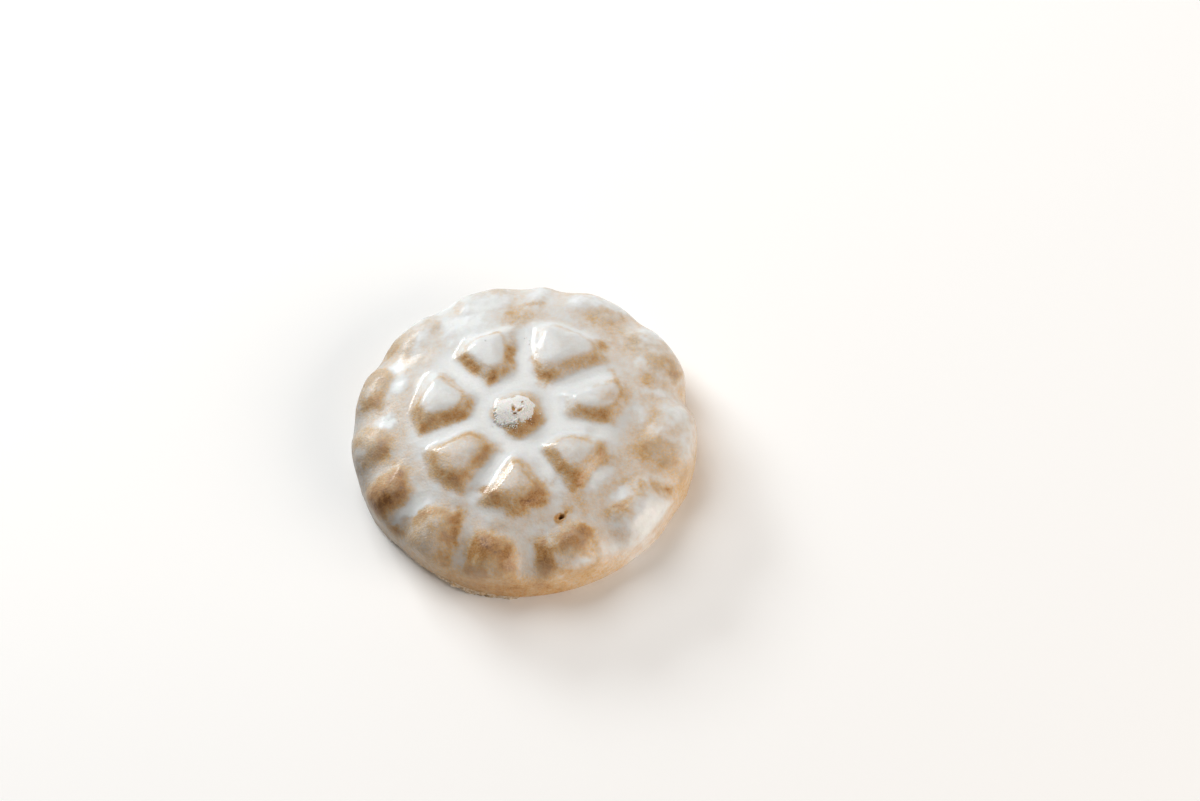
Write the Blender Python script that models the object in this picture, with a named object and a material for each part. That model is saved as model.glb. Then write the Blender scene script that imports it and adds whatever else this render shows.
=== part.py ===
"""A glazed, moulded gingerbread cookie, built as one solid.

The cookie is a low dome on a flat baked base. Its top carries the raised bosses that the
mould leaves: one in the middle, a ring of seven, and an outer ring of thirteen that run
over the shoulder and fade out on the side. The bosses are the cells of a weighted Voronoi
diagram, drawn on the dome's surface and shrunk to leave grooves between them.

Units are metres and degrees, +Z is up, and the flat base lies at z = 0.
"""

import math

import bmesh
import bpy
import numpy as np

# Driving dimensions of the cookie.
WIDEST_RADIUS = 0.0348          # groove floor at the widest level of the side
WIDEST_HEIGHT = 0.0051          # level of the widest ring above the base
BASE_RADIUS = 0.0341            # edge of the flat base
DOME_HEIGHT = 0.0156            # groove floor at the middle of the top
DOME_FULLNESS = 3.1             # exponent of the superellipse: higher is flatter on top
PATTERN_SHIFT = (0.0006, 0.0013)   # how far the outline's centre lies from the mould's

# Where the soft side was pressed in: angle, half width in degrees and depth.
PRESSES = [
    (7, 7, 0.0016),
    (216, 9, 0.0005),
    (325, 6, 0.0004),
]
PRESS_START = 0.0250            # distance over the surface at which the presses begin
PRESS_RUN = 0.0110              # and run over which they reach their depth

# The mould's bosses: angle around the middle, distance over the surface from the middle,
# and how much the cell is widened against its neighbours. The outer bosses share one distance.
MIDDLE_BOSS = [
    (40, 0.0004, 0.0),
]
RING_BOSSES = [
    (9, 0.0134, -8e-6),
    (53, 0.0162, 12e-6),
    (108, 0.0150, 2e-6),
    (159, 0.0160, 8e-6),
    (215, 0.0140, 4e-6),
    (263, 0.0166, 6e-6),
    (311, 0.0140, -4e-6),
]
OUTER_DISTANCE = 0.0330
OUTER_BOSSES = [
    (28, 0.0),
    (56, 0.0),
    (77.5, -45e-6),
    (98.5, 0.0),
    (128, 0.0),
    (156.5, 0.0),
    (181, 0.0),
    (203, 0.0),
    (229, 0.0),
    (254, 0.0),
    (281, 0.0),
    (315, 0.0),
    (346, 0.0),
]

# Relief of the mould.
MIDDLE_HEIGHT = 0.0025          # rise of the middle boss above the groove floor
RING_HEIGHT = 0.0025
OUTER_HEIGHT = 0.0019
OUTER_HEIGHT_DRIFT = 0.00065    # the outer bosses are this much higher at the front, lower behind
INNER_FLANK = 0.0020            # run of the bevelled edge of the middle and ring bosses
OUTER_FLANK = 0.0024            # and of the softer outer ones
FOOT_SOFTNESS = 0.0005          # run over which a bevel grows out of the groove
CREST_SOFTNESS = 0.00035        # and over which it turns into the top
CROWN_SHARE = 0.42              # share of the height that the domed top adds inside the flanks
CROWN_RUN = 0.0028              # run over which the domed top rises
CORNER_ROUNDING = 0.0006        # how softly the straight sides of a cell meet
RIM_DISTANCE = 0.0386           # distance over the surface at which the outer bosses end
FADE_END = 0.0423               # and at which the last of their height has died away
FADE_RUN = 0.0085               # run over which it does so
MIDDLE_MOAT = 0.0020            # half grooves, by the boss they belong to
INNER_GROOVE = 0.0014
SIDE_GROOVE = 0.0016
OUTER_GROOVE = 0.0024
SHOULDER_GROOVE = 0.0029
GROOVE_DRIFT = 0.0007           # the ring groove is this much wider along one diagonal
GROOVE_DRIFT_ANGLE = 130
WARP_SIZE = 0.0003              # wander of the bosses' edges
WARP_PITCH = 0.0085
LUMP_SIZE = 0.00018             # soft lumps of the whole surface
LUMP_PITCH = 0.0190
WAVES = [                       # direction and phase of the waves that ripples are made of
    (1.0, 0.31, 0.7),
    (-0.42, 0.83, 2.1),
    (0.61, -0.61, 4.0),
]

# The pinhole where an air bubble broke through.
PINHOLE_ANGLE = 285
PINHOLE_DISTANCE = 0.0252
PINHOLE_RADIUS = 0.00055        # at the surface
PINHOLE_TAPER = 0.5             # share of the radius that it loses going down
PINHOLE_DEPTH = 0.0016
PINHOLE_SIDES = 8

# Mesh.
RING_STEP = 0.00112             # distance between the rings of vertices
SPOKES_PER_RING = 6             # vertices that each ring adds to the last
MOST_SPOKES = 198
PROFILE_SAMPLES = 2000
SLOPE_REACH = 0.0004            # half the run over which the profile's slope is read
SHARP_ANGLE = 60                # steeper edges than this are shaded sharp

DOUGH_COLOUR = (0.62, 0.40, 0.22, 1.0)
DOUGH_ROUGHNESS = 0.45


def dome_profile():
    """Distance over the surface, radius and height, from the middle of the top to the base."""
    turn = np.linspace(0, math.pi / 2, PROFILE_SAMPLES)
    top_radius = WIDEST_RADIUS * np.sin(turn)
    rise = np.sqrt(np.clip(1 - np.sin(turn) ** DOME_FULLNESS, 0, 1))
    top_height = WIDEST_HEIGHT + (DOME_HEIGHT - WIDEST_HEIGHT) * rise
    side_radius = BASE_RADIUS + (WIDEST_RADIUS - BASE_RADIUS) * np.cos(turn[1:])
    side_height = WIDEST_HEIGHT * (1 - np.sin(turn[1:]))
    radius = np.concatenate([top_radius, side_radius])
    height = np.concatenate([top_height, side_height])
    steps = np.hypot(np.diff(radius), np.diff(height))
    distance = np.concatenate([[0], np.cumsum(steps)])
    return distance, radius, height


PROFILE_DISTANCE, PROFILE_RADIUS, PROFILE_HEIGHT = dome_profile()
SURFACE_RUN = PROFILE_DISTANCE[-1]


def outline_stretch(angle):
    """Stretch of the round profile that puts the outline's centre off the mould's centre."""
    shift_x, shift_y = PATTERN_SHIFT
    along = shift_x * np.cos(angle) + shift_y * np.sin(angle)
    across = WIDEST_RADIUS ** 2 - shift_x ** 2 - shift_y ** 2
    return (along + np.sqrt(along ** 2 + across)) / WIDEST_RADIUS


def pressed_in(angle, distance):
    """How far the side is pressed in at points of the flat pattern."""
    depth = np.zeros_like(distance)
    for middle, half_width, most in PRESSES:
        away = np.angle(np.exp(1j * (angle - math.radians(middle))))
        depth += most * np.exp(-(away / math.radians(half_width)) ** 2)
    return depth * smooth_ramp((distance - PRESS_START) / PRESS_RUN)


def polar(angle_degrees, distance):
    """Point of the flat pattern at an angle and a distance from the middle."""
    angle = math.radians(angle_degrees)
    return distance * math.cos(angle), distance * math.sin(angle)


def boss_cells():
    """Centre, weight and ring number of every cell of the pattern."""
    cells = []
    for ring, bosses in enumerate((MIDDLE_BOSS, RING_BOSSES)):
        for angle, distance, weight in bosses:
            cells.append((*polar(angle, distance), weight, ring))
    for angle, weight in OUTER_BOSSES:
        cells.append((*polar(angle, OUTER_DISTANCE), weight, 2))
    return np.array(cells)


def half_groove(own_ring, other_ring, angle):
    """Distance from a cell's border to the foot of its boss."""
    drift = GROOVE_DRIFT * np.cos(2 * (angle - math.radians(GROOVE_DRIFT_ANGLE)))
    if own_ring == 0:
        return MIDDLE_MOAT + 0 * angle
    if own_ring == 1 and other_ring == 0:
        return INNER_GROOVE + 0 * angle
    if own_ring == 1 and other_ring == 2:
        return OUTER_GROOVE + drift
    if own_ring == 2 and other_ring == 1:
        return SHOULDER_GROOVE + drift
    return SIDE_GROOVE + 0 * angle


def depth_inside_boss(x, y):
    """How far each point lies inside the foot of its boss, and the boss's ring number."""
    cells = boss_cells()
    rings = cells[:, 3].astype(int)
    angle = np.arctan2(y, x)
    power = np.stack([(x - cx) ** 2 + (y - cy) ** 2 - weight for cx, cy, weight, _ in cells])
    own = np.argmin(power, axis=0)
    own_power = np.min(power, axis=0)
    walls = [RIM_DISTANCE - np.hypot(x, y)]
    for other in range(len(cells)):
        wall = np.full(x.shape, np.inf)
        for cell in range(len(cells)):
            here = own == cell
            if cell == other or not here.any():
                continue
            span = np.hypot(*(cells[cell, :2] - cells[other, :2]))
            gap = half_groove(rings[cell], rings[other], angle[here])
            wall[here] = (power[other][here] - own_power[here]) / (2 * span) - gap
        walls.append(wall)
    walls = np.stack(walls)
    nearest = walls.min(axis=0)
    blend = np.exp((nearest - walls) / CORNER_ROUNDING).sum(axis=0)
    return nearest - CORNER_ROUNDING * np.log(blend), rings[own]


def smooth_ramp(value):
    """Rise from 0 to 1 with level ends."""
    value = np.clip(value, 0, 1)
    return value * value * (3 - 2 * value)


def ripples(x, y, pitch):
    """Smooth, irregular waves between about -1 and 1."""
    turns = 2 * math.pi / pitch
    first, second, third = (
        np.sin(turns * (along * x + across * y) + phase) for along, across, phase in WAVES)
    return (first * second + third) / 2


def relief(x, y):
    """Height of the mould's relief above the groove floor at points of the flat pattern."""
    bent_x = x + WARP_SIZE * ripples(y, x, WARP_PITCH)
    bent_y = y + WARP_SIZE * ripples(x + WARP_PITCH, y, WARP_PITCH)
    depth, ring = depth_inside_boss(bent_x, bent_y)
    outer_height = OUTER_HEIGHT - OUTER_HEIGHT_DRIFT * np.sin(np.arctan2(y, x))
    height = np.choose(ring, (MIDDLE_HEIGHT, RING_HEIGHT, outer_height))
    width = np.choose(ring, (INNER_FLANK, INNER_FLANK, OUTER_FLANK))
    climbed = FOOT_SOFTNESS * np.logaddexp(0, depth / FOOT_SOFTNESS)
    climbed -= CREST_SOFTNESS * np.logaddexp(0, (depth - width) / CREST_SOFTNESS)
    flank = climbed / width
    crown = 1 - np.exp(-np.maximum(depth - width, 0) / CROWN_RUN)
    distance = np.hypot(x, y)
    fade = smooth_ramp((FADE_END - distance) / FADE_RUN)
    lumps = LUMP_SIZE * ripples(x, y, LUMP_PITCH) * smooth_ramp((SURFACE_RUN - distance) / FADE_RUN)
    return height * fade * ((1 - CROWN_SHARE) * flank + CROWN_SHARE * crown) + lumps


def surface_points(x, y):
    """Points of the finished surface, from points of the flat pattern."""
    angle = np.arctan2(y, x)
    distance = np.hypot(x, y)
    ahead = np.clip(distance + SLOPE_REACH, 0, SURFACE_RUN)
    behind = np.clip(distance - SLOPE_REACH, 0, SURFACE_RUN)
    run = np.interp(ahead, PROFILE_DISTANCE, PROFILE_RADIUS)
    run -= np.interp(behind, PROFILE_DISTANCE, PROFILE_RADIUS)
    drop = np.interp(behind, PROFILE_DISTANCE, PROFILE_HEIGHT)
    drop -= np.interp(ahead, PROFILE_DISTANCE, PROFILE_HEIGHT)
    length = np.hypot(run, drop)
    rise = relief(x, y)
    radius = np.interp(distance, PROFILE_DISTANCE, PROFILE_RADIUS) + rise * drop / length
    height = np.interp(distance, PROFILE_DISTANCE, PROFILE_HEIGHT) + rise * run / length
    radius = radius * outline_stretch(angle) - pressed_in(angle, distance)
    return np.stack([radius * np.cos(angle), radius * np.sin(angle), height], axis=-1)


def pattern_rings():
    """Rings of points on the flat pattern, evenly spread, from the middle to the base's edge."""
    count = round(SURFACE_RUN / RING_STEP)
    rings = []
    for number in range(count + 1):
        distance = SURFACE_RUN * number / count
        spokes = min(max(SPOKES_PER_RING * number, 1), MOST_SPOKES)
        angle = 2 * math.pi * np.arange(spokes) / spokes
        rings.append((distance * np.cos(angle), distance * np.sin(angle)))
    return rings


def stitch(mesh, inner, outer):
    """Fill the band between two rings of vertices with triangles."""
    near = far = 0
    while near < len(inner) or far < len(outer):
        here = inner[near % len(inner)]
        there = outer[far % len(outer)]
        if far < len(outer) and (len(inner) == 1 or (far + 1) * len(inner) <= (near + 1) * len(outer)):
            far += 1
            mesh.faces.new((here, there, outer[far % len(outer)]))
        elif len(inner) > 1:
            near += 1
            mesh.faces.new((here, there, inner[near % len(inner)]))
        else:
            break


def make_cookie():
    """The dome with its bosses, closed by the flat base, centred on its own box."""
    mesh = bmesh.new()
    rings = []
    for x, y in pattern_rings():
        points = surface_points(x, y)
        rings.append([mesh.verts.new(point) for point in points])
    for inner, outer in zip(rings, rings[1:]):
        stitch(mesh, inner, outer)
    for vertex in rings[-1]:
        vertex.co.z = 0
    mesh.faces.new(reversed(rings[-1]))
    places = np.array([vertex.co for vertex in mesh.verts])
    middle = (places.min(axis=0) + places.max(axis=0)) / 2
    bmesh.ops.translate(mesh, verts=mesh.verts, vec=(-middle[0], -middle[1], 0))
    bmesh.ops.recalc_face_normals(mesh, faces=mesh.faces)
    data = bpy.data.meshes.new("cookie")
    mesh.to_mesh(data)
    mesh.free()
    data.shade_smooth()
    data.set_sharp_from_angle(angle=math.radians(SHARP_ANGLE))
    cookie = bpy.data.objects.new("cookie", data)
    bpy.context.scene.collection.objects.link(cookie)
    return cookie, middle


def cut_pinhole(cookie, middle):
    """A small tapered hole, sunk straight down."""
    x, y = polar(PINHOLE_ANGLE, PINHOLE_DISTANCE)
    mouth = surface_points(np.array([x]), np.array([y]))[0]
    mesh = bmesh.new()
    bmesh.ops.create_cone(
        mesh, cap_ends=True, segments=PINHOLE_SIDES, depth=2 * PINHOLE_DEPTH,
        radius1=PINHOLE_RADIUS * (1 - PINHOLE_TAPER), radius2=PINHOLE_RADIUS * (1 + PINHOLE_TAPER))
    data = bpy.data.meshes.new("pinhole_cutter")
    mesh.to_mesh(data)
    mesh.free()
    cutter = bpy.data.objects.new("pinhole_cutter", data)
    bpy.context.scene.collection.objects.link(cutter)
    cutter.location = (mouth[0] - middle[0], mouth[1] - middle[1], mouth[2])
    cutter.hide_render = True
    cutter.display_type = "WIRE"
    cut = cookie.modifiers.new("pinhole", "BOOLEAN")
    cut.operation = "DIFFERENCE"
    cut.object = cutter


def make_dough():
    """Glazed dough: warm beige brown with a soft gloss."""
    material = bpy.data.materials.new("glazed_gingerbread")
    material.use_nodes = True
    shader = material.node_tree.nodes["Principled BSDF"]
    shader.inputs["Base Color"].default_value = DOUGH_COLOUR
    shader.inputs["Roughness"].default_value = DOUGH_ROUGHNESS
    shader.inputs["Metallic"].default_value = 0.0
    return material


def main():
    for item in list(bpy.data.objects):
        bpy.data.objects.remove(item, do_unlink=True)
    cookie, middle = make_cookie()
    cookie.data.materials.append(make_dough())
    cut_pinhole(cookie, middle)


main()
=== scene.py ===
"""Glazed gingerbread cookie: the finished look of the moulded dome, as a Blender add-on.

Lengths are metres and angles degrees, unless a comment says otherwise. The flat pattern is
the cookie's top rolled out: a point lies at its angle around the middle and at its distance
over the surface from the middle. The viewer stands at 270 degrees.
"""

import math

import bmesh
import bpy
import numpy as np
from bpy.props import FloatProperty, FloatVectorProperty, PointerProperty
from bpy.types import Operator, Panel, PropertyGroup
from mathutils import Matrix, Vector


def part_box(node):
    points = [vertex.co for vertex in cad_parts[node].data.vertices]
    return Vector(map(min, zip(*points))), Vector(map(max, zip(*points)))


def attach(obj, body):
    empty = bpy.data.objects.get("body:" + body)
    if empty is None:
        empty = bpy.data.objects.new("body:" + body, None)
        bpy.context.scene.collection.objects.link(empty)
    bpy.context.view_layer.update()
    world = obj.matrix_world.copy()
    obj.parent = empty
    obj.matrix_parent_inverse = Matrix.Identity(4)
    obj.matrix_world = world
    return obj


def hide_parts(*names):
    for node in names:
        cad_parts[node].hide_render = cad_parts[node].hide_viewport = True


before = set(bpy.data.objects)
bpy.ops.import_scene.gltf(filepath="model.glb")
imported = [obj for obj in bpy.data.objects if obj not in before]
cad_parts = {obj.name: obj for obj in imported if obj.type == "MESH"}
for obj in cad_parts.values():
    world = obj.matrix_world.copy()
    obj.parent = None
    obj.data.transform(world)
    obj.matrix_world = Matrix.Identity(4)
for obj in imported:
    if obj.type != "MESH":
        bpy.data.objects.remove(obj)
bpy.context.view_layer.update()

bl_info = {
    "name": "Glazed Gingerbread Cookie",
    "version": (1, 0, 0),
    "blender": (4, 5, 0),
    "location": "View3D > Sidebar > Cookie",
    "description": "Makes a moulded gingerbread cookie with its sugar glaze, crumbs and studio",
    "category": "Object",
}

COOKIE_NODE = "cookie"
BODY = "root"
BOX_LOW, BOX_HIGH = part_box(COOKIE_NODE)

# The mould's bosses: angle around the middle, distance over the surface from the middle, how
# much the cell is widened against its neighbours; then how brown the top looks, how much browner
# the edge is, partly thin glaze and partly painted shade, and the direction in which the edge is
# brownest and most shaded, for the ring of bosses towards the viewer, away from the lamps behind.
MIDDLE_BOSS = [
    (40, 0.0004, 0.0, 0.26, 0.50, 265),
]
RING_BOSSES = [
    (9, 0.0134, -8e-6, 0.15, 0.36, 290),
    (53, 0.0162, 12e-6, 0.14, 0.28, 275),
    (108, 0.0150, 2e-6, 0.13, 0.36, 270),
    (159, 0.0160, 8e-6, 0.13, 0.50, 265),
    (215, 0.0140, 4e-6, 0.27, 0.31, 260),
    (263, 0.0166, 6e-6, 0.32, 0.38, 262),
    (311, 0.0140, -4e-6, 0.20, 0.42, 260),
]
OUTER_DISTANCE = 0.0330
OUTER_BOSSES = [
    (28, 0.0, 0.28, 0.05, 230),
    (56, 0.0, 0.26, 0.05, 20),
    (77.5, -45e-6, 0.34, 0.08, 260),
    (98.5, 0.0, 0.16, 0.06, 270),
    (128, 0.0, 0.34, 0.06, 290),
    (156.5, 0.0, 0.50, 0.06, 200),
    (181, 0.0, 0.40, 0.06, 330),
    (203, 0.0, 0.50, 0.08, 0),
    (229, 0.0, 0.42, 0.18, 0),
    (254, 0.0, 0.50, 0.14, 130),
    (281, 0.0, 0.46, 0.14, 150),
    (315, 0.0, 0.20, 0.12, 150),
    (346, 0.0, 0.34, 0.06, 200),
]
PATTERN_SHIFT = (0.0006, 0.0013)  # how far the outline's centre lies from the mould's

# Where the soft side was pressed in: angle, half width in degrees and depth.
PRESSES = [
    (7, 7, 0.0016),
    (216, 9, 0.0005),
    (325, 6, 0.0004),
]
PRESS_BEYOND = (0.0250, 0.0110)  # distance where the press begins, and the run of its rise

# Grooves and edges of the bosses.
CROWN_SHARE = 0.42  # share of a boss's rise that lies in its rounded crown
CROWN_RUN = 0.0028
FOOT_SOFTNESS = 0.0005
CREST_SOFTNESS = 0.00035
RIM_DISTANCE = 0.0386  # where the outer bosses end
FADE_END = 0.0423  # where their relief has died away
FADE_RUN = 0.0085
MIDDLE_MOAT = 0.0020  # half widths of the grooves
INNER_GROOVE = 0.0014
SIDE_GROOVE = 0.0016
OUTER_GROOVE = 0.0024
SHOULDER_GROOVE = 0.0029
GROOVE_DRIFT = 0.0007  # how much they widen towards one direction
GROOVE_DRIFT_ANGLE = 130
WARP_SIZE = 0.0003
WARP_PITCH = 0.0085
LUMP_SIZE = 0.00018
LUMP_PITCH = 0.0190
WAVES = [  # share along x, share along y and phase
    (1.0, 0.31, 0.7),
    (-0.42, 0.83, 2.1),
    (0.61, -0.61, 4.0),
]
SLOPE_REACH = 0.0004
EDGE_STEP = 0.0002

# Low waves that the glaze set in, strongest between the rings of bosses.
SWELL_SIZE = 0.00013
SWELL_EVERYWHERE = 0.25
SWELL_FADE = 0.004
BETWEEN_RINGS = 0.0250
BETWEEN_REACH = 0.0045

# The pinhole where an air bubble broke through, and the small pit beside it: angle,
# distance, radius and depth. The rest is in shares of the radius.
PINHOLES = [
    (285, 0.0252, 0.00055, 0.0016),
    (288, 0.0247, 0.00020, 0.0003),
]
HOLE_WAVES = [  # number round the hole, phase and size
    (2, 0.6, 0.16),
    (3, 2.0, 0.10),
]
HOLE_WALL = 1.25
LIP_RISE = 0.07
LIP_PLACE = 1.7
LIP_WIDTH = 0.4
BARE_REACH = 2.5
BARE_SHIFT = (0.5, 0.4)

# The rolled lower edge, and where it lifted off the tray.
FOOT_ROLL = 0.00022
FOOT_ROLL_HEIGHT = 0.0009
FOOT_ROLL_WIDTH = 0.0005
UNDERCUT = 0.0042
UNDERCUT_ANGLE = 226
UNDERCUT_HALF_ANGLE = 17
UNDERCUT_HEIGHT = 0.0021
UNDERCUT_LIP = 0.0006

# The sugar crust that crumbled on the middle boss.
CRUST_PLACE = (-0.0010, 0.0004)
CRUST_HALF = (0.0042, 0.0032)
CRUST_SQUARENESS = 2.4  # 2 is an ellipse, more is nearer to a rectangle
CRUST_MARGIN = 1.5
CRUST_THICKNESS = 0.00042
CRUST_RAGGED = 0.13
CRUST_CELL = 0.00008
CRUST_SUNK = 0.00018  # how far the border dips into the glaze
CRUST_OVERLAP = 0.08
CRUST_LOWER_RUN = 0.0030  # from the smooth upper left to the crumbled lower right
CRUST_HOLLOWS = [  # place beside the crust's middle, half sizes and turn
    (0.0002, -0.0001, 0.00030, 0.00070, 12),
    (0.0014, -0.0007, 0.00065, 0.00032, 35),
    (0.0021, 0.0012, 0.00030, 0.00018, 60),
    (0.0004, -0.0014, 0.00035, 0.00016, 350),
]
RIM_RAGGED = 0.25  # these four in shares of the hollow's half size
HOLLOW_EDGE = 1.5
CURL_PLACE = 1.7
CURL_WIDTH = 0.4
CRUMBS = [  # angle, distance, number, scatter and largest size
    (232, 0.0034, 30, 0.0008, 0.00030),
    (205, 0.0040, 22, 0.0007, 0.00026),
    (258, 0.0030, 26, 0.0007, 0.00034),
    (320, 0.0022, 26, 0.0008, 0.00032),
    (10, 0.0014, 34, 0.0009, 0.00034),
    (195, 0.0016, 40, 0.0015, 0.00022),
]
CRUMB_SEED = 71

# Beads of glaze: angle, distance, number, scatter and largest size.
BEADS = [
    (79, 0.0178, 4, 0.0006, 0.00022),
    (77, 0.0160, 4, 0.0006, 0.00024),
    (227, 0.0318, 5, 0.0010, 0.00020),
    (172, 0.0282, 3, 0.0009, 0.00022),
    (173, 0.0222, 8, 0.0010, 0.00018),
    (106, 0.0176, 1, 0.0001, 0.00034),
    (289, 0.0278, 1, 0.0001, 0.00030),
    (262, 0.0036, 5, 0.0008, 0.00020),
    (140, 0.0300, 2, 0.0010, 0.00018),
    (222, 0.0225, 2, 0.0008, 0.00018),
]
BEAD_SEED = 73
LEAST_LUMP = 0.45  # smallest crumb or bead, against the largest

# Torn flakes at the base's edge: first and last angle, level, reach and thickness.
FLAKES = [
    (236, 264, 0.00022, 0.00080, 0.00030),
    (232, 261, 0.00070, 0.00055, 0.00024),
    (238, 255, 0.00120, 0.00035, 0.00020),
]
FLAKE_SECTION = [  # share of the thickness and share of the reach, all round
    (-0.5, -0.5),
    (-0.3, 1.0),
    (0.3, 0.8),
    (0.5, -0.5),
]
FLAKE_STEP = 0.00012
FLAKE_WANDER = 0.00018
FLAKE_WANDER_PITCH = 0.0030
FLAKE_WANDER_SEED = 62  # of the first flake, one more for each other one
FLAKE_SHIFT = 0.01  # apart in the noise that tears them
FLAKE_TAPER = 0.12  # share of the length over which a flake thins out
FLAKE_ROOT = 0.00025  # how deep it is rooted in the side
FLOOR_GAP = 0.00003

# Patches where the glaze ran thin, or pooled where the strength is below zero: angle, then
# in millimetres the distance from the middle, the half length and the half width, then the
# turn of the length and the strength. First those in and beside the ring of bosses; among the
# outer ones, the pale patches behind on the left are partly pooled glaze and partly painted
# highlights.
RING_STAINS = [
    (5, 17.3, 2, 1.5, 60, 0.16), (18, 20.2, 2.6, 0.8, 100, 0.18),
    (39, 22.2, 1.5, 1.2, 60, 0.28), (50, 9, 1.8, 1.3, 60, 0.28),
    (68, 11.8, 2.8, 1.1, 105, 0.26), (91, 13, 3.2, 0.8, 92, 0.20),
    (119, 9.8, 1.8, 1.3, 30, 0.24), (123, 15.8, 4, 1.1, 122, 0.24),
    (142, 16.8, 4, 0.6, 125, 0.14), (156, 10, 1.6, 1.1, 60, 0.20),
    (172, 19.2, 3.2, 1.4, 100, 0.20), (212, 19.2, 3.4, 1.3, 115, 0.20),
    (222, 18.6, 2.2, 1.4, 340, 0.20), (228, 13, 4, 1.2, 45, 0.14),
    (239, 8.6, 1.6, 1.1, 50, 0.24), (243, 19.3, 1.4, 0.8, 335, 0.30),
    (246, 19, 3.4, 1.1, 335, 0.44), (272, 20.2, 5.2, 1.5, 0, 0.22),
    (278, 13.7, 2.5, 1.9, 60, 0.14), (282, 17.4, 2.6, 1.5, 20, 0.26),
    (297, 21.5, 3.6, 2, 110, 0.20), (302, 10.4, 1.1, 0.8, 30, 0.10),
    (302, 17.1, 2.4, 1.4, 300, 0.26), (311, 22, 3.4, 1.4, 42, -0.24),
    (325, 21.5, 3, 1.8, 20, 0.12), (333, 15, 2.4, 1.1, 60, 0.14),
    (351, 15.8, 1.8, 1.1, 20, 0.20),
]
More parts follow.
